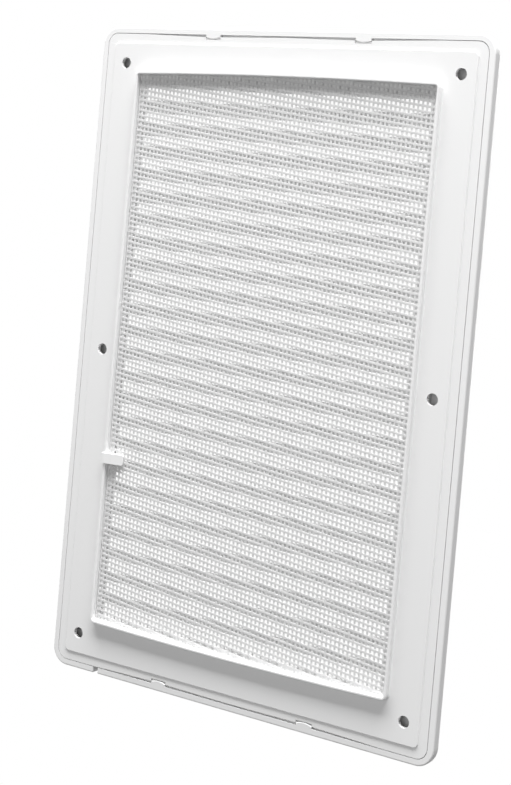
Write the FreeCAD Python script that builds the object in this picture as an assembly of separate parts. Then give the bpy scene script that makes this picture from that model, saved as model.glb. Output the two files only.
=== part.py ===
"""Louvre vent: a wall grille of two mouldings that clip together with an insect mesh.

The mounting frame is screwed to the wall round a duct. A low collar on its back
enters the duct and surrounds the mesh, which lies on the frame's plate. The louvre
cover clips over the frame from the front and hides the screws.

Millimetres. Z is up, X runs across the vent. The wall plane is y = 0: the duct
lies towards +Y and the louvres face -Y. The origin is the centre of the frame's
six screws, in the wall plane. A depth below is a distance along Y.
"""
import FreeCAD, Part
import math
import os

Vec = FreeCAD.Vector

# Louvre cover: outline and shell
cover_width = 200.0
cover_height = 300.0
cover_corner_radius = 8.0
cover_depth = 7.6
cover_front_rounding = 4.5
cover_wall_gap = 0.5
rim_wall = 2.8
rim_lip_rounding = 0.7
face_thickness = 1.8

# Louvre cover: slats, each with its front edge lower than its rear edge
slat_pitch = 10.43
slat_edge_height = 2.1
slat_rise = 4.7
slat_edge_rounding = 0.45
slats_above_centre = -0.9
louvre_wall = 1.5
louvre_side_room = 8.8
louvre_end_room = 13.8
slat_end_gap = 4.0
slat_frame_clearance = 0.3

# Louvre cover: clip hooks and pry notch
hook_width = 7.6
hook_offset = 38.5
hook_reach = 2.0
hook_thickness = 1.2
hook_nose = 0.7
hook_lead_in = 0.4
notch_inset = 25.6
notch_width = 2.8
notch_flare = 0.5

# Mounting frame: border, raised field and screw holes
frame_play = 0.3
frame_thickness = 2.0
border_width = 4.1
field_step = 0.5
field_corner_radius = 2.2
field_edge_chamfer = 0.3
relief_depth = 0.8
relief_reach = 37.5
hook_gap = 0.3
screw_hole_diameter = 5.1
screw_side_inset = 7.2
screw_end_inset = 9.5

# Mounting frame: duct collar, whose long top and bottom walls bow outwards, and mesh ledge
collar_margin = 14.9
collar_rise = 1.7
collar_bow = 1.1
collar_corner_radius = 2.5
collar_wall = 1.5
collar_depth = 2.8
collar_rim_chamfer = 0.4
collar_root_chamfer = 0.4
ledge_side = 2.6
ledge_bottom = 1.8
ledge_top = 5.9

# Mounting frame: tongue that laps over the mesh
tongue_reach = 11.2
tongue_width = 4.7
tongue_height = -49.4
tongue_wrap = 0.7
tongue_thickness = 0.8
tongue_lift = 0.1
tongue_corner_radius = 0.6

# Insect mesh: a layer of upright threads with a layer of cross threads on it
mesh_clearance = 0.2
thread_thickness = 0.25
warp_pitch = 2.11
warp_thread = 0.95
weft_pitch = 2.34
weft_thread = 1.05
weft_slope = 7.0
shortest_slot = 2.0

# Places worked out from the sizes above
cover_back = -cover_wall_gap
cover_front = cover_back - cover_depth
face_back = cover_front + face_thickness
pocket_width = cover_width - 2 * rim_wall
pocket_height = cover_height - 2 * rim_wall
pocket_corner_radius = cover_corner_radius - rim_wall
border_back = -field_step
border_front = border_back - frame_thickness
frame_width = pocket_width - 2 * frame_play
frame_height = pocket_height - 2 * frame_play
frame_corner_radius = pocket_corner_radius - frame_play
field_width = frame_width - 2 * border_width
field_height = frame_height - 2 * border_width
hollow_width = field_width - 2 * frame_thickness
hollow_height = field_height - 2 * frame_thickness
screw_x = field_width / 2 - screw_side_inset
screw_z = field_height / 2 - screw_end_inset
louvre_width = hollow_width - 2 * (louvre_side_room + louvre_wall)
louvre_height = hollow_height - 2 * (louvre_end_room + louvre_wall)
slat_height = slat_rise + slat_edge_height
slat_count = int((louvre_height - 2 * slat_end_gap - slat_height) / slat_pitch) + 1
slat_back = -frame_thickness - slat_frame_clearance
hook_nose_height = pocket_height / 2 - hook_reach
hook_front = cover_back - hook_thickness
collar_width = field_width - 2 * collar_margin
collar_height = field_height - 2 * collar_margin
inside_width = collar_width - 2 * collar_wall
inside_height = collar_height - 2 * collar_wall
inside_corner_radius = collar_corner_radius - collar_wall
window_width = inside_width - 2 * ledge_side
window_height = inside_height - ledge_top - ledge_bottom
window_middle = collar_rise + (ledge_bottom - ledge_top) / 2


def edges_along_y(shape):
    """The straight edges that run from front to back."""
    return [e for e in shape.Edges if abs(e.tangentAt(e.FirstParameter).y) > 0.999]


def edges_at(shape, y, half_width, half_height, z_mid=0.0):
    """The edges that lie at one depth and within a box about x = 0."""
    box = shape.BoundBox
    found = []
    for edge in shape.Edges:
        box = edge.BoundBox
        level = abs(box.YMin - y) < 1e-4 and abs(box.YMax - y) < 1e-4
        across = max(-box.XMin, box.XMax) < half_width + 1e-3
        up = max(z_mid - box.ZMin, box.ZMax - z_mid) < half_height + 1e-3
        if level and across and up:
            found.append(edge)
    return found


def slab(width, height, corner, front, back, z_mid=0.0):
    """Plate between two depths, with round corners where corner isn't 0."""
    corner_point = Vec(-width / 2, front, z_mid - height / 2)
    plate = Part.makeBox(width, back - front, height, corner_point)
    if corner > 0:
        plate = plate.makeFillet(corner, edges_along_y(plate))
    return plate


def bowed_slab(width, height, corner, front, back, z_mid):
    """As slab, with a top and a bottom that bow outwards. height is at the corners."""
    x = width / 2
    low = z_mid - height / 2
    high = z_mid + height / 2
    bottom = Part.Arc(Vec(-x, front, low), Vec(0, front, low - collar_bow), Vec(x, front, low))
    right = Part.LineSegment(Vec(x, front, low), Vec(x, front, high))
    top = Part.Arc(Vec(x, front, high), Vec(0, front, high + collar_bow), Vec(-x, front, high))
    left = Part.LineSegment(Vec(-x, front, high), Vec(-x, front, low))
    outline = Part.Wire([side.toShape() for side in (bottom, right, top, left)])
    plate = Part.Face(outline).extrude(Vec(0, back - front, 0))
    return plate.makeFillet(corner, edges_along_y(plate))


def prism(points, along):
    """Solid swept from a closed outline of straight sides."""
    return Part.Face(Part.makePolygon(points + points[:1])).extrude(along)


def slat(z_mid):
    """One sloping slat, its ends let into the side walls of the louvre opening."""
    reach = louvre_width / 2 + louvre_wall / 2
    rear_top = z_mid + slat_height / 2
    rear_low = rear_top - slat_edge_height
    section = [
        Vec(-reach, slat_back, rear_top),
        Vec(-reach, slat_back, rear_low),
        Vec(-reach, cover_front, rear_low - slat_rise),
        Vec(-reach, cover_front, rear_top - slat_rise),
    ]
    length = Vec(2 * reach, 0, 0)
    blade = prism(section, length)
    long_edges = [e for e in blade.Edges if abs(e.tangentAt(e.FirstParameter).x) > 0.999]
    return blade.makeFillet(slat_edge_rounding, long_edges)


def hook(x_mid, side):
    """Clip hook on the rim, let into the frame's border. side is 1 at the top, -1 at the bottom."""
    wall = side * (pocket_height / 2 + rim_wall / 2)
    nose = side * hook_nose_height
    shoulder = nose + side * hook_nose
    left = x_mid - hook_width / 2
    right = x_mid + hook_width / 2
    tip = Part.Arc(Vec(left, hook_front, shoulder), Vec(x_mid, hook_front, nose), Vec(right, hook_front, shoulder))
    sides = Part.makePolygon(
        [
            Vec(right, hook_front, shoulder),
            Vec(right, hook_front, wall),
            Vec(left, hook_front, wall),
            Vec(left, hook_front, shoulder),
        ]
    )
    outline = Part.Wire([tip.toShape()] + sides.Edges)
    nib = Part.Face(outline).extrude(Vec(0, hook_thickness, 0))
    lead_in = [
        edge
        for edge in nib.Edges
        if edge.Curve.TypeId == "Part::GeomCircle" and abs(edge.BoundBox.YMin - cover_back) < 1e-4
    ]
    return nib.makeChamfer(hook_lead_in, lead_in)


def hook_seat(x_mid, side):
    """Cutter for the seat of one hook in the back of the border."""
    width = hook_width + 2 * hook_gap
    low = hook_nose_height - hook_gap
    seat = Part.makeBox(width, hook_thickness, hook_reach + hook_gap, Vec(x_mid - width / 2, hook_front, low))
    return seat if side > 0 else seat.mirror(Vec(0, 0, 0), Vec(0, 0, 1))


def relief(side):
    """Cutter that widens the gap along one end of the border, most of all at the hooks."""
    edge = frame_height / 2
    far = hook_offset + relief_reach
    near = hook_offset + hook_width / 2 + hook_gap
    inner = hook_offset - hook_width / 2 - hook_gap
    profile = [
        (-far, 0),
        (-near, relief_depth),
        (-inner, relief_depth),
        (0, relief_depth / 2),
        (inner, relief_depth),
        (near, relief_depth),
        (far, 0),
        (far, -frame_play),
        (-far, -frame_play),
    ]
    points = [Vec(x, border_front, side * (edge - depth)) for x, depth in profile]
    return prism(points, Vec(0, frame_thickness, 0))


def pry_notch():
    """Cutter for the slot in the bottom rim, its mouth flared by round corners."""
    outside = -cover_height / 2
    mouth = notch_width / 2 + notch_flare
    neck = notch_width / 2
    turn = notch_flare * (1 - math.sqrt(0.5))

    def at(x, z):
        return Vec(cover_width / 2 - notch_inset + x, face_back, z)

    left_flare = Part.Arc(at(-mouth, outside), at(-neck - turn, outside + turn), at(-neck, outside + notch_flare))
    right_flare = Part.Arc(at(neck, outside + notch_flare), at(neck + turn, outside + turn), at(mouth, outside))
    inner = Part.makePolygon(
        [
            at(-neck, outside + notch_flare),
            at(-neck, outside + rim_wall + frame_play / 2),
            at(neck, outside + rim_wall + frame_play / 2),
            at(neck, outside + notch_flare),
        ]
    )
    outer = Part.makePolygon(
        [at(mouth, outside), at(mouth, outside - rim_wall), at(-mouth, outside - rim_wall), at(-mouth, outside)]
    )
    outline = Part.Wire([left_flare.toShape()] + inner.Edges + [right_flare.toShape()] + outer.Edges)
    return Part.Face(outline).extrude(Vec(0, cover_depth, 0))


def louvre_cover():
    """Shell with a rim, a face, the louvre opening with its slats, hooks and notch."""
    shell = slab(cover_width, cover_height, cover_corner_radius, cover_front, cover_back)
    front_edges = edges_at(shell, cover_front, cover_width / 2, cover_height / 2)
    shell = shell.makeFillet(cover_front_rounding, front_edges)
    back_edges = edges_at(shell, cover_back, cover_width / 2, cover_height / 2)
    shell = shell.makeFillet(rim_lip_rounding, back_edges)
    pocket = slab(pocket_width, pocket_height, pocket_corner_radius, border_front, cover_back + rim_wall)
    # The frame's border seats on the shoulder between the pocket and this recess.
    recess = slab(field_width, field_height, field_corner_radius, face_back, border_front)
    shell = shell.cut(pocket).cut(recess)
    wall_width = louvre_width + 2 * louvre_wall
    wall_height = louvre_height + 2 * louvre_wall
    walls = slab(wall_width, wall_height, 0, face_back - face_thickness / 2, slat_back)
    opening = slab(louvre_width, louvre_height, 0, cover_front - face_thickness, slat_back + rim_wall)
    shell = shell.fuse(walls).cut(opening)
    first = slats_above_centre + (slat_count - 1) * slat_pitch / 2
    slats = [slat(first - i * slat_pitch) for i in range(slat_count)]
    hooks = [hook(x, side) for x in (-hook_offset, hook_offset) for side in (1, -1)]
    return shell.fuse(slats + hooks).removeSplitter().cut(pry_notch())


def tongue():
    """Lug that wraps the collar's wall and reaches inwards over the mesh, thinner at its tip."""
    start = collar_width / 2 + tongue_wrap
    tip = start - tongue_reach
    inside_wall = collar_width / 2 - collar_wall
    under = 2 * thread_thickness + tongue_lift
    top = collar_depth + tongue_wrap
    low = tongue_height - tongue_width / 2
    section = [
        Vec(tip, under, low),
        Vec(inside_wall + collar_wall / 2, under, low),
        Vec(inside_wall + collar_wall / 2, -frame_thickness / 2, low),
        Vec(start, -frame_thickness / 2, low),
        Vec(start, top, low),
        Vec(inside_wall, top, low),
        Vec(tip, under + tongue_thickness, low),
    ]
    lug = prism(section, Vec(0, 0, tongue_width))
    bend = [e for e in lug.Edges if abs(e.BoundBox.XMin - start) < 1e-4 and abs(e.BoundBox.YMin - top) < 1e-4]
    lug = lug.makeFillet(tongue_wrap * 0.9, bend)
    corners = [e for e in edges_along_y(lug) if abs(e.BoundBox.XMax - tip) < 1e-4]
    return lug.makeFillet(tongue_corner_radius, corners)


def mounting_frame():
    """Border and raised field with six screw holes, and a collar round the mesh window."""
    border = slab(frame_width, frame_height, frame_corner_radius, border_front, border_back)
    border = border.cut([relief(side) for side in (1, -1)])
    field = slab(field_width, field_height, field_corner_radius, border_front, 0)
    field = field.makeChamfer(field_edge_chamfer, edges_at(field, 0, field_width / 2, field_height / 2))
    hollow = slab(hollow_width, hollow_height, field_corner_radius / 2, border_front, -frame_thickness)
    plate = border.fuse(field).cut(hollow)
    plate = plate.cut([hook_seat(x, side) for x in (-hook_offset, hook_offset) for side in (1, -1)])

    outer_half = collar_height / 2 + collar_bow
    foot = -frame_thickness / 2
    collar = bowed_slab(collar_width, collar_height, collar_corner_radius, foot, collar_depth, collar_rise)
    plate = plate.fuse(collar).removeSplitter()
    root = edges_at(plate, 0, collar_width / 2, outer_half, collar_rise)
    plate = plate.makeChamfer(collar_root_chamfer, root)
    inside = bowed_slab(inside_width, inside_height, inside_corner_radius, 0, collar_depth + 1, collar_rise)
    window = slab(window_width, window_height, inside_corner_radius, border_front, 1, window_middle)
    plate = plate.cut(inside).cut(window)
    rim_edges = edges_at(plate, collar_depth, collar_width / 2, outer_half, collar_rise)
    plate = plate.makeChamfer(collar_rim_chamfer, rim_edges)

    drill = Part.makeCylinder(screw_hole_diameter / 2, 4 * frame_thickness, Vec(0, border_front, 0), Vec(0, 1, 0))
    for x in (-screw_x, screw_x):
        for z in (-screw_z, 0, screw_z):
            plate = plate.cut(drill.translated(Vec(x, 0, z)))
    return plate.fuse(tongue()).removeSplitter()


def thread_layer(front, slots):
    """Sheet of threads with the given slots between them, cut off at the window's edge."""
    back = front + thread_thickness
    width = inside_width - 2 * mesh_clearance
    height = inside_height - 2 * mesh_clearance
    sheet = bowed_slab(width, height, inside_corner_radius, front, back, collar_rise)
    window = slab(window_width, window_height, 0, front, back, window_middle)
    kept = [slot.common(window) for slot in slots]
    kept = [slot for slot in kept if slot.Solids and slot.BoundBox.DiagonalLength > shortest_slot]
    return sheet.cut(kept)


def insect_mesh():
    """Woven mesh: upright threads on the ledge, and sloping cross threads behind them."""
    warp_gap = warp_pitch - warp_thread
    warp_count = int((window_width - warp_gap) / warp_pitch) + 1
    upright = Part.makeBox(warp_gap, thread_thickness, window_height, Vec(-warp_gap / 2, 0, -window_height / 2))
    warp_slots = []
    for i in range(warp_count):
        x = (i - (warp_count - 1) / 2) * warp_pitch
        warp_slots.append(upright.translated(Vec(x, 0, window_middle)))

    # Pitch and thread of the cross threads are measured straight up the vent.
    slope = math.radians(weft_slope)
    weft_gap = (weft_pitch - weft_thread) * math.cos(slope)
    weft_count = int((window_height + window_width * math.tan(slope)) / weft_pitch)
    length = 2 * window_width
    sloping = Part.makeBox(length, thread_thickness, weft_gap, Vec(-length / 2, thread_thickness, -weft_gap / 2))
    sloping.rotate(Vec(0, 0, 0), Vec(0, 1, 0), -weft_slope)
    weft_slots = []
    for i in range(weft_count):
        z = (i - (weft_count - 1) / 2) * weft_pitch
        weft_slots.append(sloping.translated(Vec(0, 0, window_middle + z)))

    warp = thread_layer(0, warp_slots)
    weft = thread_layer(thread_thickness, weft_slots)
    return Part.makeCompound(warp.Solids + weft.Solids)


def export(name, shape):
    """Checks one sub-part and writes it as STEP."""
    assert shape.isValid(), name
    shape.exportStep(os.path.join("parts", name + ".step"))
    print(name, len(shape.Solids), "solid(s),", round(shape.Volume / 1000, 2), "cm3,", len(shape.Faces), "faces")


os.makedirs("parts", exist_ok=True)
export("louvre_cover", louvre_cover())
export("mounting_frame", mounting_frame())
export("insect_mesh", insect_mesh())
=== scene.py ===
"""Looks of the louvre vent: white mouldings, a woven insect mesh, studio light and camera."""

import math

import bpy
from mathutils import Euler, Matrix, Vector


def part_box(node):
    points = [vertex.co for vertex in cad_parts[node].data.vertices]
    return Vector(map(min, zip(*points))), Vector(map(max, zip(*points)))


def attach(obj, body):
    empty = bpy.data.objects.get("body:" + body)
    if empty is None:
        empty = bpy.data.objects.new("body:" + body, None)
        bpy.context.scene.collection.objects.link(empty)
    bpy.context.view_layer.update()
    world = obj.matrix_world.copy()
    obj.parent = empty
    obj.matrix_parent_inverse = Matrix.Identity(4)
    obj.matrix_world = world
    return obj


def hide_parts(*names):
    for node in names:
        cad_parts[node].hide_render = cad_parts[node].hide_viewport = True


MM = 0.001

# Woven mesh, in millimetres
WARP_PITCH = 2.11
WARP_THREAD = 0.95
WEFT_PITCH = 2.34
WEFT_THREAD = 1.05
WEFT_SLOPE = 7.0
THREAD_DEPTH = 0.26
WEAVE_WAVE = 0.06
SHEET_BOW = 1.1
END_MARGIN = 0.1
# Height of the crossing that the rows of the weave are counted from
WEAVE_MIDDLE = -0.35
# Rounding of a thread's corners, as a share of its depth
THREAD_ROUNDING = 0.35

# Strength of the white world where light bounces, and what is added where it is seen
WORLD_AMBIENT = 0.18
WORLD_SEEN_EXTRA = 0.82

# Camera that matches the photograph
CAMERA_PLACE = (-0.3791, 0.6034, 0.0749)
CAMERA_TURN = (88.615, -4.929, -147.301)
CAMERA_LENS = 74.94
CAMERA_SHIFT_Y = -0.1943


def link(obj):
    bpy.context.scene.collection.objects.link(obj)
    return obj


class Tree:
    """Small helper that adds nodes to a tree and wires them by socket name."""

    def __init__(self, tree):
        self.tree = tree

    def add(self, kind, inputs=None, **settings):
        node = self.tree.nodes.new(kind)
        for name, value in settings.items():
            setattr(node, name, value)
        for name, value in (inputs or {}).items():
            socket = node.inputs[name]
            if isinstance(value, bpy.types.NodeSocket):
                self.tree.links.new(value, socket)
            else:
                socket.default_value = value
        return node

    def math(self, operation, *values):
        node = self.tree.nodes.new("ShaderNodeMath")
        node.operation = operation
        for i, value in enumerate(values):
            if isinstance(value, bpy.types.NodeSocket):
                self.tree.links.new(value, node.inputs[i])
            else:
                node.inputs[i].default_value = value
        return node.outputs[0]


def moulding_grain():
    """Shader group: the fine grain and slow unevenness of a moulded plastic skin."""
    group = bpy.data.node_groups.new("moulding_grain", "ShaderNodeTree")
    for name, default in (("Grain Size", 900.0), ("Wave Size", 18.0)):
        socket = group.interface.new_socket(name, in_out="INPUT", socket_type="NodeSocketFloat")
        socket.default_value = default
    group.interface.new_socket("Grain", in_out="OUTPUT", socket_type="NodeSocketFloat")
    group.interface.new_socket("Wave", in_out="OUTPUT", socket_type="NodeSocketFloat")
    tree = Tree(group)
    sizes = tree.add("NodeGroupInput")
    place = tree.add("ShaderNodeTexCoord").outputs["Object"]
    grain = tree.add(
        "ShaderNodeTexNoise",
        {"Vector": place, "Scale": sizes.outputs["Grain Size"], "Detail": 2.0},
    )
    wave = tree.add(
        "ShaderNodeTexNoise",
        {"Vector": place, "Scale": sizes.outputs["Wave Size"], "Detail": 1.0},
    )
    tree.add("NodeGroupOutput", {"Grain": grain.outputs["Fac"], "Wave": wave.outputs["Fac"]})
    return group


def plastic(name, colour, roughness, grain_height, wave_height):
    """White plastic whose gloss and height vary slightly over the surface."""
    material = bpy.data.materials.new(name)
    material.use_nodes = True
    material.node_tree.nodes.clear()
    tree = Tree(material.node_tree)
    skin = tree.add("ShaderNodeGroup", node_tree=GRAIN)
    gloss = tree.add(
        "ShaderNodeMapRange",
        {"Value": skin.outputs["Wave"], "From Min": 0.3, "From Max": 0.7,
         "To Min": roughness - 0.04, "To Max": roughness + 0.04},
    )
    wavy = tree.add(
        "ShaderNodeBump",
        {"Strength": 1.0, "Distance": wave_height, "Height": skin.outputs["Wave"]},
    )
    bumpy = tree.add(
        "ShaderNodeBump",
        {"Strength": 1.0, "Distance": grain_height, "Height": skin.outputs["Grain"],
         "Normal": wavy.outputs["Normal"]},
    )
    shader = tree.add(
        "ShaderNodeBsdfPrincipled",
        {"Base Color": (*colour, 1.0), "Roughness": gloss.outputs["Result"], "IOR": 1.49,
         "Normal": bumpy.outputs["Normal"]},
    )
    tree.add("ShaderNodeOutputMaterial", {"Surface": shader.outputs["BSDF"]})
    return material


def thread_tree(name, along_warp):
    """Geometry Nodes tree for one set of a plain weave's threads.

    A flat grid has one vertex at each crossing. Its edges along one direction become
    the threads, and each vertex moves to its crossing, behind or in front of the sheet.
    """
    group = bpy.data.node_groups.new(name, "GeometryNodeTree")
    group.interface.new_socket("Geometry", in_out="OUTPUT", socket_type="NodeSocketGeometry")
    inputs = (
        ("Columns", "NodeSocketInt"),
        ("Rows", "NodeSocketInt"),
        ("Column Pitch", "NodeSocketFloat"),
        ("Row Pitch", "NodeSocketFloat"),
        ("Slope", "NodeSocketFloat"),
        ("Half Width", "NodeSocketFloat"),
        ("Half Height", "NodeSocketFloat"),
        ("Bow", "NodeSocketFloat"),
        ("Thread Width", "NodeSocketFloat"),
        ("Thread Depth", "NodeSocketFloat"),
        ("Wave", "NodeSocketFloat"),
        ("Row Shift", "NodeSocketFloat"),
        ("Centre", "NodeSocketVector"),
        ("Material", "NodeSocketMaterial"),
    )
    for label, kind in inputs:
        group.interface.new_socket(label, in_out="INPUT", socket_type=kind)
    tree = Tree(group)
    given = tree.add("NodeGroupInput").outputs

    columns_less = tree.math("SUBTRACT", given["Columns"], 1.0)
    rows_less = tree.math("SUBTRACT", given["Rows"], 1.0)
    grid = tree.add(
        "GeometryNodeMeshGrid",
        {"Size X": columns_less, "Size Y": rows_less,
         "Vertices X": given["Columns"], "Vertices Y": given["Rows"]},
    )
    # On this grid a vertex's place is its column and row, counted from the middle.
    cell = tree.add("ShaderNodeSeparateXYZ", {"Vector": tree.add("GeometryNodeInputPosition").outputs[0]})
    ends = tree.add("GeometryNodeInputMeshEdgeVertices")
    first = tree.add("ShaderNodeSeparateXYZ", {"Vector": ends.outputs["Position 1"]})
    second = tree.add("ShaderNodeSeparateXYZ", {"Vector": ends.outputs["Position 2"]})
    axis = "X" if along_warp else "Y"
    across = tree.math("ABSOLUTE", tree.math("SUBTRACT", first.outputs[axis], second.outputs[axis]))
    is_across = tree.math("GREATER_THAN", across, 0.5)
    kept = tree.add(
        "GeometryNodeDeleteGeometry",
        {"Geometry": grid.outputs["Mesh"], "Selection": is_across},
        domain="EDGE", mode="EDGE_FACE",
    )

    # The outermost column lies on the sheet's edge.
    x = tree.math("MULTIPLY", cell.outputs["X"], given["Column Pitch"])
    x = tree.math("MINIMUM", x, given["Half Width"])
    x = tree.math("MAXIMUM", x, tree.math("MULTIPLY", given["Half Width"], -1.0))
    z = tree.math("MULTIPLY_ADD", cell.outputs["Y"], given["Row Pitch"], given["Row Shift"])
    z = tree.math("MULTIPLY_ADD", x, given["Slope"], z)

    # Beyond the top and bottom of the sheet, which bow outwards, there is no thread.
    # An upright thread ends on that line, and a cross thread at its last crossing.
    share = tree.math("DIVIDE", x, given["Half Width"])
    curve = tree.math("SUBTRACT", 1.0, tree.math("MULTIPLY", share, share))
    limit = tree.math("MULTIPLY_ADD", curve, given["Bow"], given["Half Height"])
    reach = tree.math("ADD", limit, given["Row Pitch"]) if along_warp else limit
    cut = tree.add(
        "GeometryNodeDeleteGeometry",
        {"Geometry": kept.outputs["Geometry"],
         "Selection": tree.math("GREATER_THAN", tree.math("ABSOLUTE", z), reach)},
        domain="POINT",
    )
    if along_warp:
        z = tree.math("MINIMUM", z, limit)
        z = tree.math("MAXIMUM", z, tree.math("MULTIPLY", limit, -1.0))

    column = tree.math("ROUND", tree.math("MULTIPLY_ADD", columns_less, 0.5, cell.outputs["X"]))
    row = tree.math("ROUND", tree.math("MULTIPLY_ADD", rows_less, 0.5, cell.outputs["Y"]))
    odd = tree.math("FLOORED_MODULO", tree.math("ADD", column, row), 2.0)
    turn = tree.math("MULTIPLY_ADD", odd, 2.0, -1.0)
    side = given["Wave"] if along_warp else tree.math("MULTIPLY", given["Wave"], -1.0)
    y = tree.math("MULTIPLY", turn, side)
    crossing = tree.add("ShaderNodeCombineXYZ", {"X": x, "Y": y, "Z": z})
    placed = tree.add(
        "GeometryNodeSetPosition",
        {"Geometry": cut.outputs["Geometry"], "Position": crossing.outputs["Vector"]},
    )
    lines = tree.add("GeometryNodeMeshToCurve", {"Mesh": placed.outputs["Geometry"]})
    upright = tree.add("GeometryNodeSetCurveNormal", {"Curve": lines.outputs["Curve"]}, mode="Z_UP")
    section_x, section_y = "Thread Depth", "Thread Width"
    if along_warp:
        section_x, section_y = section_y, section_x
    section = tree.add(
        "GeometryNodeCurvePrimitiveQuadrilateral", {"Width": given[section_x], "Height": given[section_y]}
    )
    softened = tree.add(
        "GeometryNodeFilletCurve",
        {"Curve": section.outputs["Curve"], "Count": 1,
         "Radius": tree.math("MULTIPLY", given["Thread Depth"], THREAD_ROUNDING)},
        mode="POLY",
    )
    tubes = tree.add(
        "GeometryNodeCurveToMesh",
        {"Curve": upright.outputs["Curve"], "Profile Curve": softened.outputs["Curve"], "Fill Caps": True},
    )
    moved = tree.add(
        "GeometryNodeTransform",
        {"Geometry": tubes.outputs["Mesh"], "Translation": given["Centre"]},
    )
    flat = tree.add(
        "GeometryNodeSetShadeSmooth",
        {"Geometry": moved.outputs["Geometry"], "Shade Smooth": False},
    )
    real = tree.add("GeometryNodeRealizeInstances", {"Geometry": flat.outputs["Geometry"]})
    painted = tree.add(
        "GeometryNodeSetMaterial", {"Geometry": real.outputs["Geometry"], "Material": given["Material"]}
    )
    tree.add("NodeGroupOutput", {"Geometry": painted.outputs["Geometry"]})
    return group


def grow(name, group, values):
    """Runs a Geometry Nodes tree and keeps its result as a plain mesh."""
    carrier = link(bpy.data.objects.new(name + "_source", bpy.data.meshes.new(name + "_source")))
    modifier = carrier.modifiers.new("tree", "NODES")
    modifier.node_group = group
    for item in group.interface.items_tree:
        if item.in_out == "INPUT" and item.name in values:
            modifier[item.identifier] = values[item.name]
    carrier.update_tag()
    depsgraph = bpy.context.evaluated_depsgraph_get()
    mesh = bpy.data.meshes.new_from_object(carrier.evaluated_get(depsgraph), depsgraph=depsgraph)
    bpy.data.objects.remove(carrier)
    mesh.name = name
    return link(bpy.data.objects.new(name, mesh))


def woven_mesh(material):
    """Both sets of threads, cut to the size and place of the CAD sheet."""
    low, high = (Vector(corner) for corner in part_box("insect_mesh"))
    centre = (low + high) / 2
    width = high.x - low.x
    height = (high.z - low.z) - 2 * MM * (SHEET_BOW + END_MARGIN)
    slope = math.tan(math.radians(WEFT_SLOPE))
    shift = WEAVE_MIDDLE * MM - centre.z
    half_width = width / 2 - WARP_THREAD * MM / 2
    columns = 2 * math.ceil(half_width / (WARP_PITCH * MM)) + 1
    rows = 2 * math.ceil((height / 2 + abs(shift) + width / 2 * slope) / (WEFT_PITCH * MM)) + 1
    values = {
        "Columns": columns,
        "Rows": rows,
        "Column Pitch": WARP_PITCH * MM,
        "Row Pitch": WEFT_PITCH * MM,
        "Slope": slope,
        "Half Width": half_width,
        "Half Height": height / 2,
        "Bow": SHEET_BOW * MM,
        "Thread Depth": THREAD_DEPTH * MM,
        "Wave": WEAVE_WAVE * MM,
        "Row Shift": shift,
        "Centre": centre,
        "Material": material,
    }
    sets = (("warp_threads", True, WARP_THREAD), ("weft_threads", False, WEFT_THREAD))
    grown = []
    for name, along_warp, thread in sets:
        tree = thread_tree(name, along_warp)
        grown.append(grow(name, tree, {**values, "Thread Width": thread * MM}))
    return grown


def area_lamp(name, place, target, width, depth, power):
    lamp = bpy.data.lights.new(name, "AREA")
    lamp.shape = "RECTANGLE"
    lamp.size = width
    lamp.size_y = depth
    lamp.energy = power
    obj = link(bpy.data.objects.new(name, lamp))
    obj.location = place
    obj.rotation_euler = (Vector(target) - Vector(place)).to_track_quat("-Z", "Y").to_euler()


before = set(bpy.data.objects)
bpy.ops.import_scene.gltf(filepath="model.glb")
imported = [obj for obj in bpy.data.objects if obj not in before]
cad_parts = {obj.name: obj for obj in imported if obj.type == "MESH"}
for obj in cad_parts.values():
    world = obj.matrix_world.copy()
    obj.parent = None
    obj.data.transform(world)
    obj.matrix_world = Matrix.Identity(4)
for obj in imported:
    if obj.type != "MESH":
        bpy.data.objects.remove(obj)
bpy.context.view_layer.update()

GRAIN = moulding_grain()
white_plastic = plastic("white_plastic", (0.86, 0.86, 0.86), 0.42, 0.00001, 0.00003)
thread_plastic = plastic("thread_plastic", (0.71, 0.71, 0.71), 0.7, 0.00001, 0.0)

for node in ("louvre_cover", "mounting_frame"):
    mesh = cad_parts[node].data
    mesh.materials.clear()
    mesh.materials.append(white_plastic)

for threads in woven_mesh(thread_plastic):
    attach(threads, "root")
    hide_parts("insect_mesh")

world = bpy.data.worlds.new("studio")
bpy.context.scene.world = world
world.use_nodes = True
world.node_tree.nodes.clear()
sky = Tree(world.node_tree)
sky_path = sky.add("ShaderNodeLightPath")
sky_seen = sky.math("MAXIMUM", sky_path.outputs["Is Camera Ray"], sky_path.outputs["Is Glossy Ray"])
sky_seen = sky.math("MAXIMUM", sky_seen, sky_path.outputs["Is Transmission Ray"])
sky_strength = sky.math("MULTIPLY_ADD", sky_seen, WORLD_SEEN_EXTRA, WORLD_AMBIENT)
sky_light = sky.add("ShaderNodeBackground", {"Color": (1, 1, 1, 1), "Strength": sky_strength})
sky.add("ShaderNodeOutputWorld", {"Surface": sky_light.outputs["Background"]})

area_lamp("overhead_softbox", (0.0, 0.37, 1.60), (0.0, 0.37, 0.0), 1.8, 0.72, 84.0)
area_lamp("back_fill", (-0.4, 1.5, 0.15), (0.0, 0.0, 0.0), 1.2, 1.2, 6.0)
area_lamp("front_fill", (0.45, -1.4, 0.5), (0.0, 0.0, 0.0), 1.6, 1.6, 22.0)

camera_data = bpy.data.cameras.new("camera")
camera_data.lens = CAMERA_LENS
camera_data.shift_y = CAMERA_SHIFT_Y
camera = link(bpy.data.objects.new("camera", camera_data))
camera.location = CAMERA_PLACE
camera.rotation_euler = Euler([math.radians(a) for a in CAMERA_TURN])
bpy.context.scene.camera = camera

bpy.context.scene.view_settings.view_transform = "Standard"
